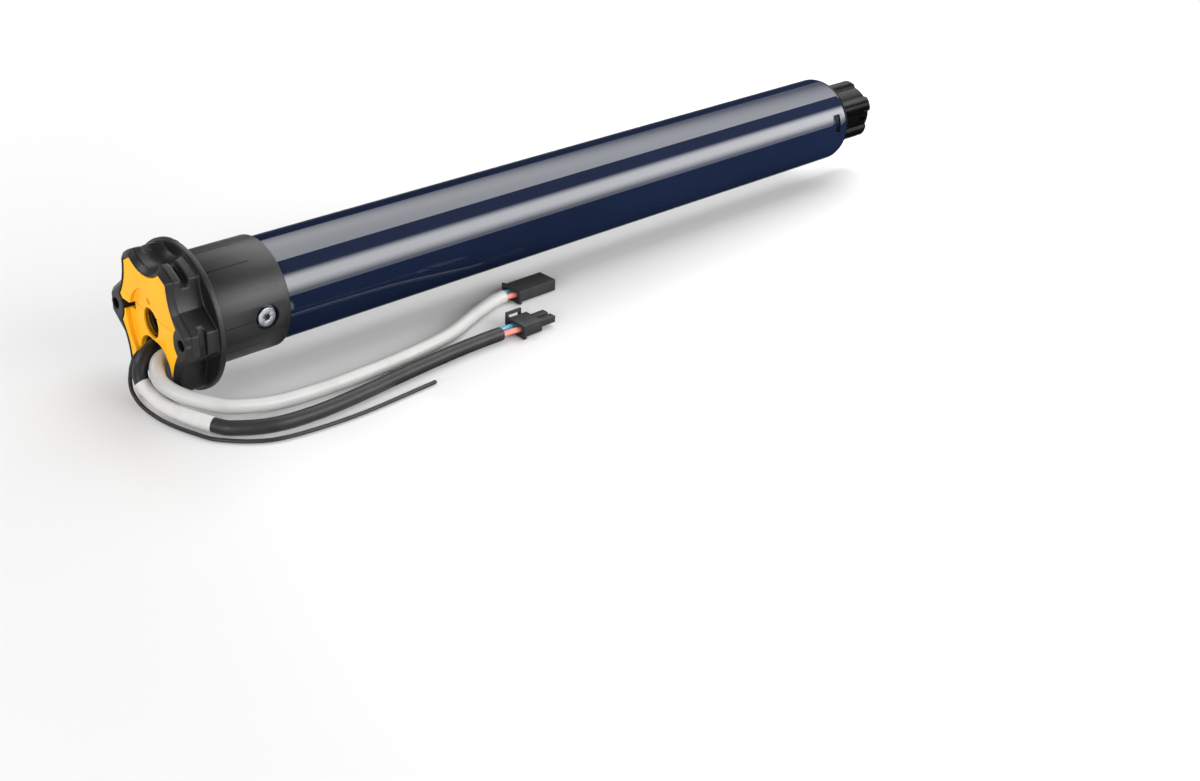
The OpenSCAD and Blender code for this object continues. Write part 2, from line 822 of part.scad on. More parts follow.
module third_carrier() {
    socket_w = tenon_w + 2 * fit;
    color("#8F9396") on_axis() difference() {
        carrier_plate(2);
        translate([carrier_x(2) + carrier_t[2] - tenon_len - fit, -socket_w / 2, -socket_w / 2])
            cube([tenon_len + 1, socket_w, socket_w]);
    }
}

module first_pins() {
    color("#C9CCCE") on_axis() stage_pins(0);
}

module second_pins() {
    color("#C9CCCE") on_axis() stage_pins(1);
}

module third_pins() {
    color("#C9CCCE") on_axis() stage_pins(2);
}

module first_planet(place) {
    color("#E9E6DC") planet(0, place);
}

module second_planet(place) {
    color("#8F9396") planet(1, place);
}

module third_planet(place) {
    color("#8F9396") planet(2, place);
}

// Five full-round lobes on a round core
module lobe_outline() {
    circle(r = land_r);
    for (k = [0:lobe_count - 1]) rotate(lobe_turn + 360 / lobe_count * k) {
        translate([0, -lobe_w / 2]) square([lobe_r - lobe_w / 2, lobe_w]);
        translate([lobe_r - lobe_w / 2, 0]) circle(d = lobe_w);
    }
}

module drive_shaft() {
    shoulder_x = carrier_x(2) + carrier_t[2];
    color("#202123") on_axis() difference() {
        union() {
            intersection() {
                drawn(stub_x, tip_x) lobe_outline();
                union() {
                    rod(stub_x, tip_x - tip_chamfer, lobe_r + 1);
                    along_x(tip_x - tip_chamfer - eps)
                        cylinder(r1 = lobe_r, r2 = lobe_r - tip_chamfer, h = tip_chamfer + 2 * eps);
                }
            }
            rod(shoulder_x, stub_x + eps, journal_r);
            translate([shoulder_x - tenon_len, -tenon_w / 2, -tenon_w / 2])
                cube([tenon_len + eps, tenon_w, tenon_w]);
        }
        pipe(clip_x - fit, clip_x + clip_t + fit, journal_r + 1, journal_r - clip_groove);
        rod(tip_x - tip_hole_depth, tip_x + 1, tip_hole_r);
        translate([tip_x - side_hole_inset, 0, 0]) rotate([lobe_turn + 90, 0, 0])
            translate([0, 0, land_r - side_hole_depth])
                cylinder(r = side_hole_r, h = side_hole_depth + 1, $fn = 48);
    }
}

module shaft_clip() {
    color("#8F9396") on_axis()
        sector(clip_x, clip_x + clip_t, journal_r + 2, journal_r - clip_groove + fit, 270, 300);
}

module output_bush() {
    color("#B08A45") on_axis() pipe(cap_x, tube_len + cap_rim_t, journal_r + bush_wall, journal_r + run);
}

module end_cap() {
    bevel_x = tube_len + cap_rim_t - cap_bevel;
    color("#1A1A1B") on_axis() {
        difference() {
            union() {
                rod(cap_x, tube_len + eps, ring_r);
                rod(tube_len, bevel_x, cap_rim_r);
                along_x(bevel_x - eps)
                    cylinder(r1 = cap_rim_r, r2 = cap_rim_r - cap_bevel, h = cap_bevel + eps);
                intersection() {
                    at_slots() rotate([90, 0, 0]) slot_cut(-loose);
                    pipe(slot_x - slot_w, slot_x + slot_w, tube_r - 0.5, ring_r - 1);
                }
            }
            rod(cap_x - 1, tube_len + cap_rim_t + 1, journal_r + bush_wall + fit);
            dogs(cap_x - 1, cap_x + dog_len + fit, fit);
            around([0:60:300]) translate([0, (ring_r + journal_r + bush_wall) / 2, 0])
                rod(cap_x + 5, tube_len - 4, cap_pocket_r);
        }
    }
}

// Round tube swept along a route. One ring stands at each point, square to the route.
function unit(v) = v / norm(v);
function heading(path, i, first, last) =
    i == 0 ? first : i == len(path) - 1 ? last
        : unit(unit(path[i + 1] - path[i]) + unit(path[i] - path[i - 1]));
function ring(centre, ahead, r) =
    let (side = unit(cross(ahead, [1, 1, -1])))
    let (up = cross(ahead, side))
    [for (k = [0:cord_sides - 1]) let (a = 360 * k / cord_sides) centre + r * (cos(a) * side + sin(a) * up)];

module sweep(path, r, first, last) {
    n = cord_sides;
    rings = len(path);
    points = [for (i = [0:rings - 1]) each ring(path[i], heading(path, i, first, last), r)];
    sides = [for (i = [0:rings - 2], k = [0:n - 1]) let (a = i * n + k, b = i * n + (k + 1) % n)
        each [[a, b, a + n], [b, b + n, a + n]]];
    start = [for (k = [n - 1:-1:0]) k];
    finish = [for (k = [0:n - 1]) (rings - 1) * n + k];
    polyhedron(points = points, faces = concat([start], sides, [finish]), convexity = 6);
}

module white_cable() {
    color("#E4E4E2") on_floor() sweep(white_route, cable_d / 2, [-1, 0, 0], [1, 0, 0]);
}

module black_cable() {
    color("#2A2A2C") on_floor() sweep(black_route, cable_d / 2, [-1, 0, 0], [1, 0, 0]);
}

module antenna_wire() {
    last = len(antenna_route) - 1;
    color("#1A1A1B") on_floor() sweep(antenna_route, antenna_d / 2, [-1, 0, 0],
        unit(antenna_route[last] - antenna_route[last - 1]));
}

// One core of each cable, from the cable's end to the back of its connector
module core_pair(side) {
    for (c = [[white_route, socket_x, socket_y], [black_route, plug_x, plug_y]]) {
        start = c[0][len(c[0]) - 1];
        middle_y = (start[1] + c[2]) / 2 + side * (core_side + core_pitch) / 2;
        middle = [(start[0] + c[1]) / 2, middle_y, start[2] + 0.3];
        on_floor() sweep([start + [0, side * core_side, 0], middle,
            [c[1] + core_seat, c[2] + side * core_pitch, contact_z]], core_d / 2, [1, 0, 0], [1, 0, 0]);
    }
}

module blue_cores() {
    color("#2F9BD0") core_pair(1);
}

module red_cores() {
    color("#E2705C") core_pair(-1);
}

// Body that both connectors share: a box with a flange round a pocket for the cores
module housing_block(length) {
    difference() {
        union() {
            translate([0, -housing_w / 2, housing_lift]) cube([length, housing_w, housing_h]);
            translate([0, -housing_w / 2 - flange_side, 0])
                cube([housing_flange, housing_w + 2 * flange_side, housing_h + 2 * housing_lift]);
        }
        translate([-1, housing_wall - housing_w / 2, housing_lift + housing_wall])
            cube([rear_pocket + 1, housing_w - 2 * housing_wall, housing_h - 2 * housing_wall]);
    }
}

// Two-way socket: a long block with a tunnel for each contact and a latch ramp on its side
module socket_housing() {
    tunnel_w = (housing_w - 3 * housing_wall) / 2;
    tunnel_h = housing_h - 2 * housing_wall;
    color("#3A3B3E") on_floor() translate([socket_x, socket_y, 0]) difference() {
        union() {
            housing_block(socket_len);
            translate([socket_len - 9, housing_w / 2 - eps, contact_z - 1.5]) cube([5, 0.8, 3]);
        }
        for (side = [-1, 1])
            translate([contact_x, side * (tunnel_w + housing_wall) / 2 - tunnel_w / 2, contact_z - tunnel_h / 2])
                cube([socket_len, tunnel_w, tunnel_h]);
    }
}

module socket_pins() {
    pitch = (housing_w - housing_wall) / 4;
    color("#C2A052") on_floor() translate([socket_x + contact_x, socket_y, contact_z])
        for (side = [-1, 1]) translate([0, side * pitch, 0]) {
            rod(0, 12, 0.7);
            along_x(12 - eps) cylinder(r1 = 0.7, r2 = 0.3, h = 1);
        }
}

// Two-way plug: a flanged body with two hollow fingers and a sprung latch arch beside it
module plug_housing() {
    finger_w = (housing_w - 3 * housing_wall) / 2 - 0.4;
    finger_h = housing_h - 2 * housing_wall - 0.4;
    pitch = (housing_w - housing_wall) / 4;
    color("#3A3B3E") on_floor() translate([plug_x, plug_y, 0]) difference() {
        union() {
            housing_block(plug_body_len);
            for (side = [-1, 1])
                translate([plug_body_len - eps, side * pitch - finger_w / 2, contact_z - finger_h / 2])
                    cube([plug_finger_len, finger_w, finger_h]);
            translate([latch_x, housing_w / 2 - eps, latch_low]) {
                cube([latch_bar, latch_gap + 2 * eps, housing_h - latch_low]);
                translate([0, latch_gap, 0]) difference() {
                    cube([latch_len, latch_t, latch_h]);
                    translate([latch_bar, -1, -1])
                        cube([latch_len - 2 * latch_bar, latch_t + 2, latch_h + 1 - latch_bar]);
                }
            }
        }
        for (side = [-1, 1]) translate([plug_body_len - contact_x, side * pitch, contact_z])
            rod(0, plug_finger_len + contact_x + 1, 1.15);
    }
}

module plug_contacts() {
    pitch = (housing_w - housing_wall) / 4;
    color("#C2A052") on_floor() translate([plug_x + plug_body_len - contact_x, plug_y, contact_z])
        for (side = [-1, 1]) translate([0, side * pitch, 0]) pipe(0, plug_finger_len, 1.1, 0.75);
}

star_head();
upper_cover();
lower_cover();
cable_grommet();
bearing_sleeve();
sleeve_screws();
head_seal();
motor_tube();
board_tray();
circuit_board();
board_parts();
inner_leads();
motor_can();
field_magnets();
rear_motor_cap();
brushes();
motor_bushes();
rubber_ring();
motor_shaft();
rotor_core();
rotor_windings();
commutator();
encoder_magnet();
sun_pinion();
motor_mount();
mount_screws();
ring_gear();
first_carrier();
first_pins();
first_planet(1);  // first_planet_1
first_planet(2);  // first_planet_2
first_planet(3);  // first_planet_3
second_carrier();
second_pins();
second_planet(1);  // second_planet_1
second_planet(2);  // second_planet_2
second_planet(3);  // second_planet_3
third_carrier();
third_pins();
third_planet(1);  // third_planet_1
third_planet(2);  // third_planet_2
third_planet(3);  // third_planet_3
drive_shaft();
shaft_clip();
output_bush();
end_cap();
white_cable();
black_cable();
antenna_wire();
blue_cores();
red_cores();
socket_housing();
socket_pins();
plug_housing();
plug_contacts();
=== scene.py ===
import bpy
import bmesh
import math
from mathutils import Matrix, Vector


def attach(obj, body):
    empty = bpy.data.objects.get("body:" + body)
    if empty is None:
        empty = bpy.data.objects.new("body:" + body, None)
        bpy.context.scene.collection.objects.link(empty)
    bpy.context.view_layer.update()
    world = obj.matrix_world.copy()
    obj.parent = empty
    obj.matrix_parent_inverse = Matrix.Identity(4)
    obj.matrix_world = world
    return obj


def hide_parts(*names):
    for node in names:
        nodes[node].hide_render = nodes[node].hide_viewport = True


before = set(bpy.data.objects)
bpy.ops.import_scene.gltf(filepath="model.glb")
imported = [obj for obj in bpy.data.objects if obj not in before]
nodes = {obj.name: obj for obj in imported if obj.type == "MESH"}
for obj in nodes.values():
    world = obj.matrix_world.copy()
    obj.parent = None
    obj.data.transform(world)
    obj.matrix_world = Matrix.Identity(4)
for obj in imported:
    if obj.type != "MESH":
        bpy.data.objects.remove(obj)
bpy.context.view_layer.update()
scene = bpy.context.scene
scene.view_settings.view_transform = "Standard"
mm = 0.001
midX = 218.5  # mm from the flange's back to the middle between star face and shaft tip
axisZ = 33.5  # mm from the floor to the tube's axis
print("frame loaded with", len(nodes), "nodes")

# Camera at the photograph's viewing angle
cameraLook = {
    "place": (-0.52947, -0.55475, 0.33916),
    "right": (0.7186, -0.6936, 0.0495),
    "up": (0.3005, 0.3740, 0.8774),
    "back": (-0.6271, -0.6156, 0.4772),
    "lens": 48.34,
    "sensorMm": 36,
    "nearM": 0.01,
}
cameraData = bpy.data.cameras.new("photoCamera")
cameraData.lens = cameraLook["lens"]
cameraData.sensor_fit = "HORIZONTAL"
cameraData.sensor_width = cameraLook["sensorMm"]
cameraData.clip_start = cameraLook["nearM"]
camera = bpy.data.objects.new("photoCamera", cameraData)
scene.collection.objects.link(camera)
turned = Matrix((cameraLook["right"], cameraLook["up"], cameraLook["back"])).transposed()
camera.matrix_world = Matrix.Translation(cameraLook["place"]) @ turned.to_4x4()
scene.camera = camera


# A place given as mm along the axis from the flange's back, mm across and mm above the floor
def floorPoint(along, across, height):
    return Vector(((along - midX) * mm, across * mm, height * mm))


# A place about the tube's axis: mm along, mm out from it, degrees up from the near side
def axisPoint(along, out, degrees):
    angle = math.radians(degrees)
    return floorPoint(along, -out * math.cos(angle), axisZ + out * math.sin(angle))


# A turn about the tube's axis at a place along it
def aboutAxis(along, degrees):
    return Matrix.Translation(floorPoint(along, 0, axisZ)) @ Matrix.Rotation(math.radians(degrees), 4, "X")


def pickNone():
    bpy.ops.object.select_all(action="DESELECT")


def pickOnly(obj):
    pickNone()
    obj.select_set(True)
    bpy.context.view_layer.objects.active = obj


def applyPlace(obj):
    pickOnly(obj)
    bpy.ops.object.transform_apply(location=True, rotation=True, scale=True)


# The primitive just added gets its name, and its size and place go into its mesh
def settle(name, sizeMm=None):
    obj = bpy.context.view_layer.objects.active
    obj.name = name
    obj.data.name = name
    if sizeMm:
        obj.dimensions = [side * mm for side in sizeMm]
    applyPlace(obj)
    return obj


# A second piece of the same shape, with its own mesh
def copyPiece(obj):
    twin = obj.copy()
    twin.data = obj.data.copy()
    scene.collection.objects.link(twin)
    return twin


# A modifier is added with its settings and applied at once
def finishWith(obj, kind, **settings):
    pickOnly(obj)
    modifier = obj.modifiers.new(kind.lower(), kind)
    for key, value in settings.items():
        setattr(modifier, key, value)
    bpy.ops.object.modifier_apply(modifier=modifier.name)


# A small round on every edge sharper than an angle
def roundEdges(obj, widthMm, segments, degrees):
    finishWith(obj, "BEVEL", width=widthMm * mm, segments=segments, limit_method="ANGLE",
               angle_limit=math.radians(degrees))


def smoothByAngle(obj, degrees):
    pickOnly(obj)
    bpy.ops.object.shade_smooth_by_angle(angle=math.radians(degrees))


# Edit mode with only the faces or edges selected that pass a test
def editOnly(obj, kind, test):
    pickOnly(obj)
    bpy.ops.object.mode_set(mode="EDIT")
    bpy.ops.mesh.select_mode(type=kind)
    bpy.ops.mesh.select_all(action="DESELECT")
    mesh = bmesh.from_edit_mesh(obj.data)
    for item in mesh.faces if kind == "FACE" else mesh.edges:
        if test(item):
            item.select_set(True)
    bmesh.update_edit_mesh(obj.data)


def leaveEdit():
    bpy.ops.object.mode_set(mode="OBJECT")


# A copy of a CAD node's mesh with its loose triangles merged
def copyNode(node, name):
    mesh = nodes[node].data.copy()
    mesh.name = name
    mesh.materials.clear()
    obj = bpy.data.objects.new(name, mesh)
    scene.collection.objects.link(obj)
    pickOnly(obj)
    bpy.ops.object.mode_set(mode="EDIT")
    bpy.ops.mesh.select_all(action="SELECT")
    bpy.ops.mesh.remove_doubles(threshold=0.002 * mm)
    leaveEdit()
    return obj


# Cuts a piece at each place with a copy of one shape, which is used up
def cutAt(obj, shape, places):
    for place in places:
        cutter = copyPiece(shape)
        cutter.matrix_world = place
        applyPlace(cutter)
        finishWith(obj, "BOOLEAN", operation="DIFFERENCE", solver="EXACT", object=cutter)
        bpy.data.objects.remove(cutter)
    bpy.data.objects.remove(shape)


# Finish: who carries the piece, which node it stands for and its material
def hangOn(piece, material, slotName, *standsFor):
    piece.data.materials.clear()
    piece.data.materials.append(material)
    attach(piece, "casing")
    if standsFor:
        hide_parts(*standsFor)
    return piece


# Materials
def srgb(hexColour):
    parts = [int(hexColour[i:i + 2], 16) / 255 for i in (1, 3, 5)]
    linear = [c / 12.92 if c <= 0.04045 else ((c + 0.055) / 1.055) ** 2.4 for c in parts]
    return (*linear, 1)


# Adds one node: settings on the node, then values or links on its sockets
def addNode(tree, kind, sockets=None, **settings):
    node = tree.nodes.new("ShaderNode" + kind)
    for key, value in settings.items():
        setattr(node, key, value)
    for key, value in (sockets or {}).items():
        if isinstance(value, bpy.types.NodeSocket):
            tree.links.new(value, node.inputs[key])
        else:
            node.inputs[key].default_value = value
    return node


# What all finishes share: how fine their cloud and grain are, and which part of the noise is used
finishLook = {"cloudDetail": 3.0, "cloudEnds": (0.35, 0.68), "grainDetail": 2.0, "grainEnds": (0.3, 0.7)}
plainSockets = {
    "metallic": "Metallic", "ior": "IOR", "shine": "Specular IOR Level", "coat": "Coat Weight",
    "coatRough": "Coat Roughness", "coatIor": "Coat IOR"}


# Two close colours in a soft cloud, and a grain that shifts the roughness and gives the bump, sizes in mm
def makeFinish(name, look):
    material = bpy.data.materials.new(name)
    material.use_nodes = True
    tree = material.node_tree
    shader = tree.nodes["Principled BSDF"]
    place = addNode(tree, "TexCoord").outputs["Object"]
    cloud = addNode(tree, "TexNoise", {"Vector": place, "Scale": 1000 / look["cloudMm"],
                                       "Detail": finishLook["cloudDetail"]})
    grain = addNode(tree, "TexNoise", {"Vector": place, "Scale": 1000 / look["grainMm"],
                                       "Detail": finishLook["grainDetail"]})
    colour = addNode(tree, "ValToRGB", {"Fac": cloud.outputs["Fac"]})
    stops = zip(colour.color_ramp.elements, finishLook["cloudEnds"], (look["colour"], look["shade"]))
    for stop, position, hexColour in stops:
        stop.position = position
        stop.color = srgb(hexColour)
    tree.links.new(colour.outputs["Color"], shader.inputs["Base Color"])
    grainLow, grainHigh = finishLook["grainEnds"]
    roughLow, roughHigh = look["rough"]
    rough = addNode(tree, "MapRange", {"Value": grain.outputs["Fac"], "From Min": grainLow,
                                       "From Max": grainHigh, "To Min": roughLow, "To Max": roughHigh})
    tree.links.new(rough.outputs["Result"], shader.inputs["Roughness"])
    bump = addNode(tree, "Bump", {"Height": grain.outputs["Fac"], "Strength": look["bump"],
                                  "Distance": look["grainMm"] * mm})
    bump.name = "grainBump"
    tree.links.new(bump.outputs["Normal"], shader.inputs["Normal"])
    for key, socket in plainSockets.items():
        if key in look:
            shader.inputs[socket].default_value = look[key]
    return material


# Glass-filled nylon, moulded in a spark-eroded tool: matte black with a fine sparkle.
# The grain is drawn at 0.45 mm, coarser than the real 0.1 mm, so that it shows.
blackNylon = makeFinish("blackGlassNylon", {
    "colour": "#121213", "shade": "#181819", "cloudMm": 9, "grainMm": 0.45,
    "rough": (0.34, 0.46), "bump": 0.16, "shine": 0.36})

# The same nylon at the driven end with painted shade: its colour is darker, and it has less sheen
shadedDriveNylon = makeFinish("shadedDriveGlassNylon", {
    "colour": "#060607", "shade": "#0b0b0c", "cloudMm": 7, "grainMm": 0.5,
    "rough": (0.20, 0.32), "bump": 0.2, "shine": 0.06})

# The same nylon on the sleeve, smoother where the winding tube's crown turns on it
sleeveNylon = makeFinish("sleeveGlassNylon", {
    "colour": "#131314", "shade": "#18181a", "cloudMm": 14, "grainMm": 0.4,
    "rough": (0.38, 0.48), "bump": 0.12, "shine": 0.44})

# ABS, moulded with a satin texture: warm yellow, soft broad highlights
yellowAbs = makeFinish("yellowAbs", {
    "colour": "#fdb91c", "shade": "#fbb317", "cloudMm": 16, "grainMm": 0.5,
    "rough": (0.40, 0.5), "bump": 0.05, "shine": 0.22})

# Steel tube with a dark blue stoved enamel: one clear gloss over a deep colour, with a trace of orange peel.
# The gloss is full where the eye looks straight on and fades at glancing angles, so the rims stay navy.
enamelLook = {
    "colour": "#111a2d", "shade": "#141d32", "cloudMm": 60, "grainMm": 3.2,
    "rough": (0.30, 0.36), "bump": 0.006, "shine": 0.0, "coat": 1.0, "coatRough": 0.035, "coatIor": 1.62,
    "fadeFacing": (0.36, 0.64), "fadeGloss": (1.0, 0.12)}
tubeEnamel = makeFinish("blueStovedEnamel", enamelLook)
enamelTree = tubeEnamel.node_tree
fadeStart, fadeEnd = enamelLook["fadeFacing"]
fullGloss, leastGloss = enamelLook["fadeGloss"]
glance = addNode(enamelTree, "LayerWeight", {"Blend": 0.5})
gloss = addNode(enamelTree, "MapRange", {"Value": glance.outputs["Facing"], "From Min": fadeStart,
                                         "From Max": fadeEnd, "To Min": fullGloss, "To Max": leastGloss},
                interpolation_type="SMOOTHSTEP")
enamelTree.links.new(gloss.outputs["Result"], enamelTree.nodes["Principled BSDF"].inputs["Coat Weight"])

# Zinc-plated steel: bright, with a fine uneven satin
zincSteel = makeFinish("zincPlatedSteel", {
    "colour": "#b4b7b9", "shade": "#a3a7aa", "cloudMm": 2, "grainMm": 0.2,
    "rough": (0.22, 0.38), "bump": 0.08, "metallic": 1.0})

# Soft PVC of the cable jackets and cores: satin, with faint unevenness from extruding
whitePvc = makeFinish("whitePvcJacket", {
    "colour": "#b4b4b2", "shade": "#bcbbb9", "cloudMm": 12, "grainMm": 1.1,
    "rough": (0.36, 0.46), "bump": 0.05, "ior": 1.53})
blackPvc = makeFinish("blackPvcJacket", {
    "colour": "#262627", "shade": "#2d2d2e", "cloudMm": 10, "grainMm": 1.0,
    "rough": (0.38, 0.5), "bump": 0.06, "shine": 0.3})
bluePvc = makeFinish("bluePvcCore", {
    "colour": "#5cabc9", "shade": "#4f9fbe", "cloudMm": 3, "grainMm": 0.5,
    "rough": (0.32, 0.42), "bump": 0.05, "ior": 1.53})
redPvc = makeFinish("redPvcCore", {
    "colour": "#dd8673", "shade": "#d37865", "cloudMm": 3, "grainMm": 0.5,
    "rough": (0.32, 0.42), "bump": 0.05, "ior": 1.53})

# Nylon of the connector housings: dark grey, semi-matte
connectorNylon = makeFinish("greyNylonHousing", {
    "colour": "#2b2c2d", "shade": "#323334", "cloudMm": 5, "grainMm": 0.35,
    "rough": (0.42, 0.55), "bump": 0.08, "shine": 0.3})

# Paper label wrapped round the cable, bare, with a soft fibre
labelPaper = makeFinish("bareLabelPaper", {
    "colour": "#d0cfcd", "shade": "#c8c7c5", "cloudMm": 4, "grainMm": 0.4,
    "rough": (0.5, 0.62), "bump": 0.06})

# Finishes of the pieces inside the tube, of the pins and of the grommet
innerLooks = {
    # pressed and sintered steel: dull grey with open pores
    "sinteredSteel": {"colour": "#7d8083", "shade": "#6b6e71", "cloudMm": 1.5, "grainMm": 0.25,
                      "rough": (0.34, 0.52), "bump": 0.18, "metallic": 1.0},
    # moulded acetal: cream white and slippery
    "acetal": {"colour": "#e9e6dc", "shade": "#dfdbd0", "cloudMm": 6, "grainMm": 0.5,
               "rough": (0.34, 0.44), "bump": 0.04, "ior": 1.48},
    # moulded nylon: matte grey
    "greyNylon": {"colour": "#3a3a3c", "shade": "#454548", "cloudMm": 8, "grainMm": 0.4,
                  "rough": (0.44, 0.56), "bump": 0.1, "ior": 1.53},
    # bronze soaked with oil: brown gold, patchy
    "oilBronze": {"colour": "#b08a45", "shade": "#94703a", "cloudMm": 2, "grainMm": 0.25,
                  "rough": (0.28, 0.46), "bump": 0.12, "metallic": 1.0},
    # stamped brass with thin tin: pale gold
    "tinnedBrass": {"colour": "#cdb676", "shade": "#c2a25a", "cloudMm": 2, "grainMm": 0.2,
                    "rough": (0.2, 0.32), "bump": 0.05, "metallic": 1.0},
    # copper wire under clear enamel: warm and glossy
    "enamelledCopper": {"colour": "#b5652b", "shade": "#a45722", "cloudMm": 2.5, "grainMm": 0.4,
                        "rough": (0.24, 0.36), "bump": 0.05, "metallic": 1.0, "coat": 0.6, "coatRough": 0.12},
    # fired ferrite: dark grey and chalky
    "magnetFerrite": {"colour": "#3d3d41", "shade": "#4a4a4e", "cloudMm": 3, "grainMm": 0.3,
                      "rough": (0.5, 0.66), "bump": 0.2},
    # glass laminate under green solder mask: satin
    "boardLaminate": {"colour": "#1c6436", "shade": "#257a45", "cloudMm": 5, "grainMm": 0.6,
                      "rough": (0.3, 0.42), "bump": 0.06, "ior": 1.5},
    # moulded rubber: dead matte black
    "sealRubber": {"colour": "#161617", "shade": "#1f1f20", "cloudMm": 4, "grainMm": 0.4,
                   "rough": (0.62, 0.76), "bump": 0.1, "ior": 1.52},
    # moulded epoxy of board components: charcoal
    "componentResin": {"colour": "#28282b", "shade": "#333336", "cloudMm": 4, "grainMm": 0.3,
                       "rough": (0.4, 0.55), "bump": 0.08},
    # extruded PVC of the inner leads: red satin
    "leadPvc": {"colour": "#b8322a", "shade": "#a82a23", "cloudMm": 3, "grainMm": 0.5,
                "rough": (0.34, 0.44), "bump": 0.05},
}
innerFinish = {name: makeFinish(name, look) for name, look in innerLooks.items()}
print("finishes made")

# Cords: mm along from the flange's back, across, and above the floor
cordLook = {
    "cableMm": 6.5,
    "wireMm": 1.8,
    "coreMm": 2.8,
    "white": [
        (-9, -4.5, 20), (-13.5, -6.5, 20.5), (-18, -8.5, 20), (-21, -12, 18), (-22.5, -16.5, 15.5),
        (-21.5, -21.5, 13.5), (-18.5, -26.5, 11.5), (-12, -33.5, 9), (-4.5, -39.5, 7), (13.5, -44, 4.5),
        (36, -45, 3.3), (59, -45, 3.3), (84.5, -43.5, 3.3), (112.5, -39, 3.3), (140, -28.5, 3.3),
        (160, -23.2, 3.3)],
    "black": [
        (-9, 3.6, 21), (-14.5, 1, 22), (-20, -2, 21), (-23.5, -4, 18.5), (-25.6, -5.8, 15.5),
        (-26.2, -8.4, 12.5), (-25.4, -12.4, 9.5), (-23.4, -20.8, 6), (-19.6, -32.7, 4.5), (-14.6, -43, 3.5),
        (-10.3, -49.5, 3.3), (4.5, -58, 3.3), (24.5, -60.5, 3.3), (49, -59, 3.3), (75, -56, 3.3),
        (108, -53.2, 3.3), (132.5, -52.7, 3.3)],
    "antenna": [
        (-9, 8, 18), (-14, 8, 18.5), (-20, 7, 17), (-22.5, 6.5, 13.5), (-23, 7.5, 9), (-23.5, 7.5, 5),
        (-25, 3.5, 2.5), (-26.5, -5.5, 0.9), (-27, -18, 0.9), (-25.5, -29, 0.9), (-22, -40.5, 0.9),
        (-17.5, -50.5, 0.9), (-3.5, -63, 0.9), (11.5, -67.5, 0.9), (40, -69.5, 0.9), (82.5, -67, 0.9)],
    "label": (5, 9),  # the black cable's points that the wrap covers
    "labelWallMm": 0.15,
    "whiteBack": (164.6, -23.2, 3.4),  # middle of the back of each cable's connector
    "blackBack": (141.4, -52.7, 3.4),
    "coreSeatMm": 2.4,  # how far the cores reach into the connector, and into the cable
    "coreInMm": 1.5,
    "coreSideMm": 1.5,  # how far each core stands off the middle, at the cable and at the connector
    "corePitchMm": 2.4,
    "coreHumpMm": 0.3,
}
outOfHead = (-1, 0, 0)
intoConnector = (1, 0, 0)


# A smooth open curve through points, with handles along the run
def layCurve(name, points, diameterMm, firstWay=None, lastWay=None):
    data = bpy.data.curves.new(name, "CURVE")
    data.dimensions = "3D"
    data.resolution_u = 10
    data.bevel_depth = diameterMm / 2 * mm
    data.bevel_resolution = 7
    data.use_fill_caps = True
    spline = data.splines.new("BEZIER")
    spline.bezier_points.add(len(points) - 1)
    for i, point in enumerate(points):
        before = points[max(i - 1, 0)]
        after = points[min(i + 1, len(points) - 1)]
        way = (after - before).normalized()
        if i == 0 and firstWay:
            way = Vector(firstWay)
        if i == len(points) - 1 and lastWay:
            way = Vector(lastWay)
        knot = spline.bezier_points[i]
        knot.handle_left_type = "FREE"
        knot.handle_right_type = "FREE"
        knot.co = point
        knot.handle_left = point - way * (point - before).length / 3
        knot.handle_right = point + way * (after - point).length / 3
    curve = bpy.data.objects.new(name, data)
    scene.collection.objects.link(curve)
    return curve


def toMesh(curve):
    pickOnly(curve)
    bpy.ops.object.convert(target="MESH")
    return bpy.context.view_layer.objects.active


whitePoints = [floorPoint(*p) for p in cordLook["white"]]
blackPoints = [floorPoint(*p) for p in cordLook["black"]]
antennaPoints = [floorPoint(*p) for p in cordLook["antenna"]]
whiteCable = layCurve("whiteCable", whitePoints, cordLook["cableMm"], outOfHead, intoConnector)
blackCable = layCurve("blackCable", blackPoints, cordLook["cableMm"], outOfHead, intoConnector)
antennaWire = layCurve("antennaWire", antennaPoints, cordLook["wireMm"], outOfHead)
hangOn(whiteCable, whitePvc, "white_jacket", "white_cable")
hangOn(blackCable, blackPvc, "black_jacket", "black_cable")
hangOn(antennaWire, blackPvc, "black_jacket", "antenna_wire")

# The wrap follows the same handles as the cable under it
first, last = cordLook["label"]
cableLabel = layCurve("cableLabel", blackPoints[first:last + 1],
                      cordLook["cableMm"] + 2 * cordLook["labelWallMm"])
wrapKnots = cableLabel.data.splines[0].bezier_points
for knot, end, step in ((wrapKnots[0], first, 1), (wrapKnots[-1], last, -1)):
    way = (blackPoints[end + 1] - blackPoints[end - 1]).normalized()
    reach = (blackPoints[end + step] - blackPoints[end]).length / 3
    knot.handle_left = knot.co - way * reach
    knot.handle_right = knot.co + way * reach
toMesh(cableLabel)
hangOn(cableLabel, labelPaper, "white_jacket")

# Two cores out of each cable's end into its connector
for cable, route in (("white", whitePoints), ("black", blackPoints)):
    backX, backY, backZ = cordLook[cable + "Back"]
    for colour, side, finish in (("Blue", 1, bluePvc), ("Red", -1, redPvc)):
        start = route[-1] + Vector((-cordLook["coreInMm"] * mm, side * cordLook["coreSideMm"] * mm, 0))
        seat = floorPoint(backX + cordLook["coreSeatMm"], backY + side * cordLook["corePitchMm"], backZ)
        hump = (start + seat) / 2 + Vector((0, 0, cordLook["coreHumpMm"] * mm))
        core = toMesh(layCurve(cable + colour + "Core", [start, hump, seat], cordLook["coreMm"],
                               intoConnector, intoConnector))
        hangOn(core, finish, colour.lower() + "_core", colour.lower() + "_cores")
print("cords laid")


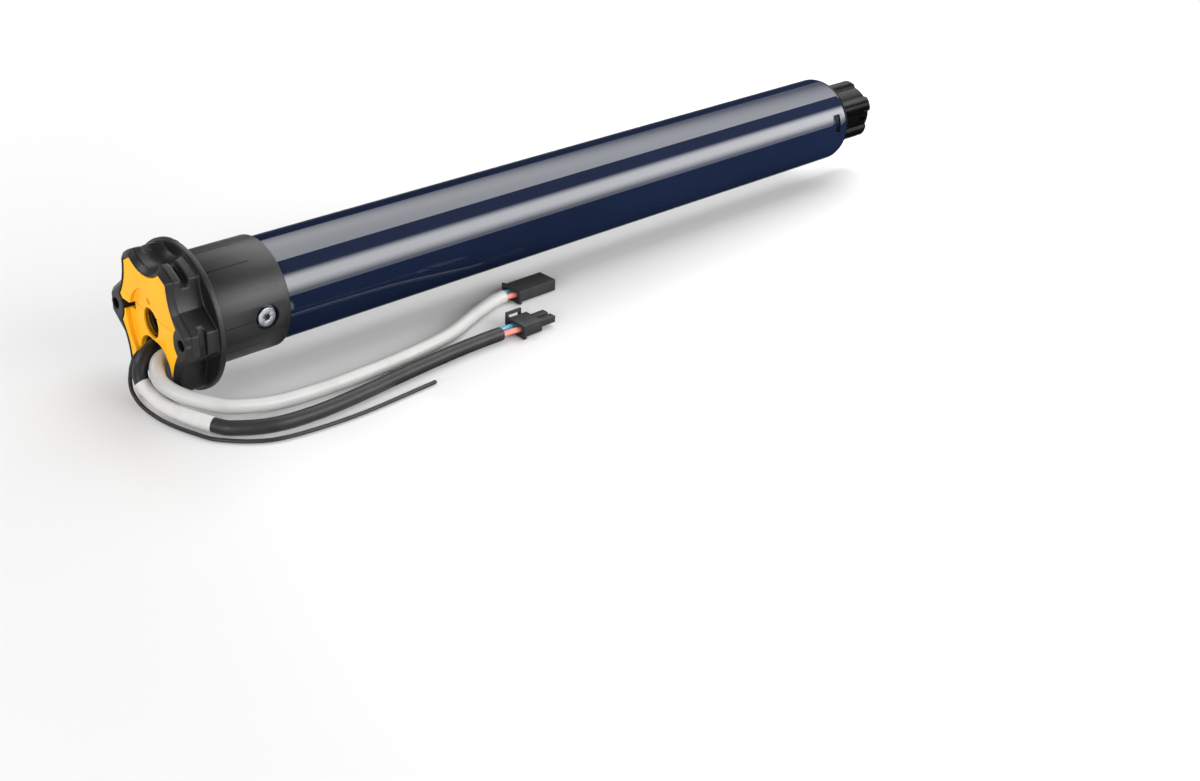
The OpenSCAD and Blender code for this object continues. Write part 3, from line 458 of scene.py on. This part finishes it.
# An open round shell along the tube's axis, from the flange's back
def addShell(name, look):
    pickNone()
    bpy.ops.mesh.primitive_cylinder_add(
        vertices=look["sides"], radius=look["radiusMm"] * mm, depth=look["lengthMm"] * mm,
        end_fill_type="NOTHING", location=floorPoint(look["lengthMm"] / 2, 0, axisZ),
        rotation=(0, math.pi / 2, 0))
    return settle(name)


# Motor tube: rolled steel pipe with three slots for the end cap's tabs
tubeLook = {
    "radiusMm": 23.5, "wallMm": 1.2, "lengthMm": 420.7, "sides": 224, "edgeMm": 0.18,
    "ringsMm": (405, 408, 419.2, 60, 15),  # rings that keep the faces round the slots and the screws short
    "slotMm": (4.2, 10, 12),  # along the tube, round it, and the depth of the cutting block
    "slots": 3, "slotXMm": 413.55, "slotAngle": 166.5, "slotCornerMm": 1.2}
motorTube = addShell("motorTube", tubeLook)
for ring in tubeLook["ringsMm"]:
    editOnly(motorTube, "FACE", lambda face: True)
    bpy.ops.mesh.bisect(plane_co=floorPoint(ring, 0, axisZ), plane_no=(1, 0, 0))
    leaveEdit()
finishWith(motorTube, "SOLIDIFY", thickness=tubeLook["wallMm"] * mm, offset=-1.0)

# Each slot is cut by a block with round corners, standing out from the axis
pickNone()
bpy.ops.mesh.primitive_cube_add(size=1)
slotBlock = settle("slotBlock", tubeLook["slotMm"])
editOnly(slotBlock, "EDGE", lambda edge: abs((edge.verts[0].co - edge.verts[1].co).normalized().z) > 0.9)
bpy.ops.mesh.bevel(offset=tubeLook["slotCornerMm"] * mm, segments=6, affect="EDGES")
leaveEdit()
outToWall = Matrix.Translation((0, 0, tubeLook["radiusMm"] * mm))
slotTurns = [tubeLook["slotAngle"] - 90 + 360 / tubeLook["slots"] * k for k in range(tubeLook["slots"])]
cutAt(motorTube, slotBlock, [aboutAxis(tubeLook["slotXMm"], turn) @ outToWall for turn in slotTurns])
roundEdges(motorTube, tubeLook["edgeMm"], 2, 50)
smoothByAngle(motorTube, 35)
hangOn(motorTube, tubeEnamel, "coated_steel", "motor_tube")
print("tube made")

# Bearing sleeve: moulded black shell with a recess for each screw
sleeveLook = {
    "radiusMm": 25.3, "boreMm": 23.55, "lengthMm": 37.4, "sides": 192, "edgeMm": 0.25,
    "rimMm": 0.9,  # round on the far rim
    "screwXMm": 25.3, "recessMm": 11.4, "recessCutMm": 8, "recessSides": 48,
    "lines": 12, "lineMm": 0.34, "lineEndMm": 25,
    "markXMm": 30.7, "markUp": 30, "markMm": 2.0, "markLineMm": 0.2, "markDeepMm": 0.2}
sleeveR = sleeveLook["radiusMm"] * mm
bearingSleeve = addShell("bearingSleeve", sleeveLook)
sleeveWall = (sleeveLook["radiusMm"] - sleeveLook["boreMm"]) * mm
finishWith(bearingSleeve, "SOLIDIFY", thickness=sleeveWall, offset=-1.0)
farRim = floorPoint(sleeveLook["lengthMm"], 0, 0).x


# Outer rim of the sleeve's far end
def onFarRim(edge):
    return all(abs(v.co.x - farRim) < 0.01 * mm
               and math.hypot(v.co.y, v.co.z - axisZ * mm) > sleeveR - 0.2 * mm for v in edge.verts)


editOnly(bearingSleeve, "EDGE", onFarRim)
bpy.ops.mesh.bevel(offset=sleeveLook["rimMm"] * mm, segments=4, affect="EDGES")
leaveEdit()
pickNone()
bpy.ops.mesh.primitive_cylinder_add(
    vertices=sleeveLook["recessSides"], radius=sleeveLook["recessMm"] / 2 * mm,
    depth=sleeveLook["recessCutMm"] * mm)
recessPlug = settle("recessPlug")
lying = Matrix.Rotation(math.pi / 2, 4, "X")
recessSpots = [floorPoint(sleeveLook["screwXMm"], side * sleeveLook["radiusMm"], axisZ) for side in (-1, 1)]
cutAt(bearingSleeve, recessPlug, [Matrix.Translation(spot) @ lying for spot in recessSpots])
roundEdges(bearingSleeve, sleeveLook["edgeMm"], 2, 55)

# Fine lines along the sleeve, left by the mould's slides
pickNone()
bpy.ops.mesh.primitive_cube_add(size=1, location=(0, 0, sleeveR))
lineBar = settle("lineBar", (sleeveLook["lineEndMm"], sleeveLook["lineMm"], 2 * sleeveLook["lineMm"]))
lineTurns = [360 / sleeveLook["lines"] * k for k in range(sleeveLook["lines"])]
cutAt(bearingSleeve, lineBar, [aboutAxis(sleeveLook["lineEndMm"] / 2, turn) for turn in lineTurns])
smoothByAngle(bearingSleeve, 35)

# One ejector mark, pressed into the sleeve's finish as a ring
sleeveTree = sleeveNylon.node_tree
markMiddle = axisPoint(sleeveLook["markXMm"], sleeveLook["radiusMm"], sleeveLook["markUp"])
markAway = addNode(sleeveTree, "VectorMath", {0: addNode(sleeveTree, "TexCoord").outputs["Object"],
                                              1: markMiddle}, operation="DISTANCE")
mark = addNode(sleeveTree, "Math", {0: markAway.outputs["Value"], 1: sleeveLook["markMm"] * mm,
                                    2: sleeveLook["markLineMm"] * mm}, operation="COMPARE")
grainNormal = sleeveTree.nodes["grainBump"].outputs["Normal"]
pressed = addNode(sleeveTree, "Bump", {"Height": mark.outputs["Value"], "Strength": 1.0,
                                       "Distance": sleeveLook["markDeepMm"] * mm, "Normal": grainNormal},
                  invert=True)
sleeveTree.links.new(pressed.outputs["Normal"], sleeveTree.nodes["Principled BSDF"].inputs["Normal"])
hangOn(bearingSleeve, sleeveNylon, "black_plastic", "bearing_sleeve")
print("sleeve made")

# Screws: pan heads with a six-lobed recess, one modelled and one copied
screwLook = {
    "headMm": 8.6, "highMm": 1.4, "sides": 72, "edgeMm": 0.22, "seatMm": 23.5, "shankMm": 3.8, "tipMm": 18.5,
    "lobesMm": (1.75, 1.22), "lobeSides": 48, "recessMm": 2.2,
    "turns": (90, -90)}  # degrees about the tube's axis to the near and the far side
pickNone()
bpy.ops.mesh.primitive_cylinder_add(
    vertices=screwLook["sides"], radius=screwLook["headMm"] / 2 * mm, depth=screwLook["highMm"] * mm,
    location=(0, 0, (screwLook["seatMm"] + screwLook["highMm"] / 2) * mm))
screw = settle("sleeveScrews")
editOnly(screw, "FACE", lambda face: face.normal.z < -0.9)
bpy.ops.mesh.inset(thickness=(screwLook["headMm"] - screwLook["shankMm"]) / 2 * mm)
bpy.ops.mesh.extrude_region_move(
    TRANSFORM_OT_translate={"value": (0, 0, (screwLook["tipMm"] - screwLook["seatMm"]) * mm)})
leaveEdit()
pickNone()
bpy.ops.mesh.primitive_cylinder_add(
    vertices=screwLook["lobeSides"], radius=1 * mm, depth=2 * screwLook["recessMm"] * mm,
    location=(0, 0, (screwLook["seatMm"] + screwLook["highMm"]) * mm))
lobes = settle("lobePlug")
outer, inner = screwLook["lobesMm"]
for vertex in lobes.data.vertices:
    around = math.atan2(vertex.co.y, vertex.co.x)
    reach = (outer + inner) / 2 + (outer - inner) / 2 * math.cos(6 * around)
    vertex.co.x *= reach
    vertex.co.y *= reach
cutAt(screw, lobes, [Matrix.Identity(4)])
roundEdges(screw, screwLook["edgeMm"], 3, 50)
smoothByAngle(screw, 40)
otherScrew = copyPiece(screw)
for obj, turn in zip((screw, otherScrew), screwLook["turns"]):
    obj.matrix_world = aboutAxis(sleeveLook["screwXMm"], turn)
    applyPlace(obj)
pickOnly(screw)
otherScrew.select_set(True)
bpy.ops.object.join()
hangOn(screw, zincSteel, "bare_steel", "sleeve_screws")
print("screws made")


# Moulded pieces: the node's own form with the soft edges of a moulding
def softMould(name, node, voxelMm, rounds, keep):
    piece = copyNode(node, name)
    finishWith(piece, "REMESH", mode="VOXEL", voxel_size=voxelMm * mm)
    finishWith(piece, "SMOOTH", factor=0.5, iterations=rounds)
    finishWith(piece, "DECIMATE", ratio=keep)
    smoothByAngle(piece, 50)
    return piece


# Node, voxel in mm, rounds of smoothing, and the share of faces that is kept
mouldLook = {
    "starHead": ("star_head", 0.36, 5, 0.35),
    "upperCover": ("upper_cover", 0.28, 3, 0.35),
    "lowerCover": ("lower_cover", 0.28, 3, 0.35),
    "cableGrommet": ("cable_grommet", 0.30, 4, 0.4),
    "endCap": ("end_cap", 0.30, 1, 0.35),
    "driveShaft": ("drive_shaft", 0.32, 2, 0.4),
}
moulded = {name: softMould(name, *look) for name, look in mouldLook.items()}
hangOn(moulded["starHead"], blackNylon, "black_plastic", "star_head")
hangOn(moulded["upperCover"], yellowAbs, "yellow_plastic", "upper_cover")
hangOn(moulded["lowerCover"], yellowAbs, "yellow_plastic", "lower_cover")
hangOn(moulded["cableGrommet"], innerFinish["sealRubber"], "seal_rubber", "cable_grommet")
hangOn(moulded["endCap"], shadedDriveNylon, "black_plastic", "end_cap")
driveShaft = hangOn(moulded["driveShaft"], shadedDriveNylon, "black_plastic", "drive_shaft")
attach(driveShaft, "output")
print("moulded pieces made")


# Connector housings: the node's own form with a small radius on every edge
def crispMould(name, node, radiusMm):
    piece = copyNode(node, name)
    finishWith(piece, "DECIMATE", decimate_type="DISSOLVE", angle_limit=math.radians(1))
    roundEdges(piece, radiusMm, 3, 40)
    smoothByAngle(piece, 40)
    return piece


housingLook = {"edgeMm": 0.22}
socketHousing = crispMould("socketHousing", "socket_housing", housingLook["edgeMm"])
plugHousing = crispMould("plugHousing", "plug_housing", housingLook["edgeMm"])
hangOn(socketHousing, connectorNylon, "grey_plastic", "socket_housing")
hangOn(plugHousing, connectorNylon, "grey_plastic", "plug_housing")
print("connectors made")

# Finishes of the nodes that keep their own form
keptNodes = {
    "sinteredSteel": ("ring_gear", "second_carrier", "third_carrier", "second_planet_1", "second_planet_2",
                      "second_planet_3", "third_planet_1", "third_planet_2", "third_planet_3", "rotor_core",
                      "motor_can", "shaft_clip"),
    "acetal": ("first_carrier", "first_planet_1", "first_planet_2", "first_planet_3", "rear_motor_cap"),
    "greyNylon": ("board_tray", "motor_mount"),
    "oilBronze": ("motor_bushes", "output_bush"),
    "tinnedBrass": ("sun_pinion", "socket_pins", "plug_contacts"),
    "enamelledCopper": ("rotor_windings", "commutator"),
    "magnetFerrite": ("field_magnets", "encoder_magnet", "brushes"),
    "boardLaminate": ("circuit_board",),
    "sealRubber": ("head_seal", "rubber_ring"),
    "componentResin": ("board_parts",),
    "leadPvc": ("inner_leads",),
    "zincSteel": ("motor_shaft", "mount_screws", "first_pins", "second_pins", "third_pins"),
}
keptFinish = {**innerFinish, "zincSteel": zincSteel}
for finishName, names in keptNodes.items():
    for name in names:
        nodes[name].data.materials.clear()
        nodes[name].data.materials.append(keptFinish[finishName])

# Floor: smooth white board, seen as white away from the object and with its shadow close by
floorLook = {
    "sizeM": 60.0, "highM": -0.0002, "colour": "#dadada", "rough": 0.45,
    "middle": (0.10, -0.16, 0), "nearM": 0.26, "farM": 0.62}
pickNone()
bpy.ops.mesh.primitive_plane_add(size=floorLook["sizeM"], location=(0, 0, floorLook["highM"]))
floor = settle("floor")
floorBoard = bpy.data.materials.new("whiteLaminateBoard")
floorBoard.use_nodes = True
boardTree = floorBoard.node_tree
board = boardTree.nodes["Principled BSDF"]
board.inputs["Base Color"].default_value = srgb(floorLook["colour"])
board.inputs["Roughness"].default_value = floorLook["rough"]
ray = addNode(boardTree, "LightPath").outputs
seen = ray["Is Camera Ray"]
for rayKind in ("Is Glossy Ray", "Is Transmission Ray"):
    seen = addNode(boardTree, "Math", {0: seen, 1: ray[rayKind]}, operation="MAXIMUM").outputs["Value"]
away = addNode(boardTree, "VectorMath", {0: addNode(boardTree, "TexCoord").outputs["Object"],
                                         1: floorLook["middle"]}, operation="DISTANCE")
fade = addNode(boardTree, "MapRange", {"Value": away.outputs["Value"], "From Min": floorLook["nearM"],
                                       "From Max": floorLook["farM"]}, interpolation_type="SMOOTHSTEP")
share = addNode(boardTree, "Math", {0: fade.outputs["Result"], 1: seen}, operation="MULTIPLY")
white = addNode(boardTree, "Emission", {"Color": (1, 1, 1, 1), "Strength": 1.0})
mixed = addNode(boardTree, "MixShader", {"Fac": share.outputs["Value"], 1: board.outputs["BSDF"],
                                         2: white.outputs["Emission"]})
boardTree.links.new(mixed.outputs["Shader"], boardTree.nodes["Material Output"].inputs["Surface"])
floor.data.materials.append(floorBoard)

# Black card on the floor in front of the tube, seen only in reflections: a painted dark reflection that
# darkens the tube's lower half, and its slanted end leaves the pale floor to the screw.
cardLook = {
    "corners": ((-0.180, -0.006), (0.115, -0.57), (1.0, -0.57), (0.60, -0.006)), "highM": 0.0002,
    "colour": "#0a0a0a"}
pickNone()
bpy.ops.mesh.primitive_circle_add(vertices=4, fill_type="NGON")
card = settle("blackCard")
for vertex, corner in zip(card.data.vertices, cardLook["corners"]):
    vertex.co = (*corner, cardLook["highM"])
darkReflectionMaterial = bpy.data.materials.new("paintedDarkReflection")
darkReflectionMaterial.use_nodes = True
darkReflectionShader = darkReflectionMaterial.node_tree.nodes["Principled BSDF"]
darkReflectionShader.inputs["Base Color"].default_value = srgb(cardLook["colour"])
darkReflectionShader.inputs["Specular IOR Level"].default_value = 0.0
card.data.materials.append(darkReflectionMaterial)
card.visible_camera = False
card.visible_diffuse = False
card.visible_shadow = False

# Studio light: places and sizes in metres, glow is the brightness of the lamp's face.
# A feathered lamp is brightest along its middle and fades to its upper and lower edge.
lampLook = {
    "overheadBox": {"place": (0.93, 0.40, 0.70), "aim": (0.93, 0.40, 0.0), "size": (1.64, 1.16), "glow": 2.9},
    "frontStrip": {"place": (0.72, -0.73, 0.39), "aim": (0.72, 0.0, 0.39), "size": (1.8, 0.88), "glow": 5.7,
                   "feather": (0.01, 0.42)},
    "faceKey": {"place": (-1.35, -0.55, 0.46), "aim": (-0.2, 0.0, 0.03), "size": (0.9, 0.66), "glow": 5.2},
    "chamferFill": {"place": (-0.80, 0.75, 0.80), "aim": (-0.2, 0.0, 0.03), "size": (0.45, 0.45),
                    "glow": 6.0},
}
for name, lamp in lampLook.items():
    light = bpy.data.lights.new(name, "AREA")
    light.shape = "RECTANGLE"
    light.size, light.size_y = lamp["size"]
    light.energy = lamp["glow"] * 4 * lamp["size"][0] * lamp["size"][1]
    if "feather" in lamp:
        light.use_nodes = True
        lampTree = light.node_tree
        onFace = addNode(lampTree, "NewGeometry").outputs["Parametric"]
        across = addNode(lampTree, "SeparateXYZ", {"Vector": onFace})
        fold = addNode(lampTree, "Math", {0: across.outputs["Y"], 1: 0.5}, operation="PINGPONG")
        dark, bright = lamp["feather"]
        feather = addNode(lampTree, "MapRange", {"Value": fold.outputs["Value"], "From Min": dark,
                                                 "From Max": bright}, interpolation_type="SMOOTHSTEP")
        lampTree.links.new(feather.outputs["Result"], lampTree.nodes["Emission"].inputs["Strength"])
    lampObject = bpy.data.objects.new(name, light)
    scene.collection.objects.link(lampObject)
    way = Vector(lamp["aim"]) - Vector(lamp["place"])
    lampObject.rotation_euler = way.to_track_quat("-Z", "Y").to_euler()
    lampObject.location = lamp["place"]
    lampObject.visible_camera = False
roomLook = {"colour": (1, 1, 1, 1), "glow": 0.12}
world = bpy.data.worlds.new("studioRoom")
world.use_nodes = True
room = world.node_tree.nodes["Background"]
room.inputs["Color"].default_value = roomLook["colour"]
room.inputs["Strength"].default_value = roomLook["glow"]
scene.world = world
print("studio ready")
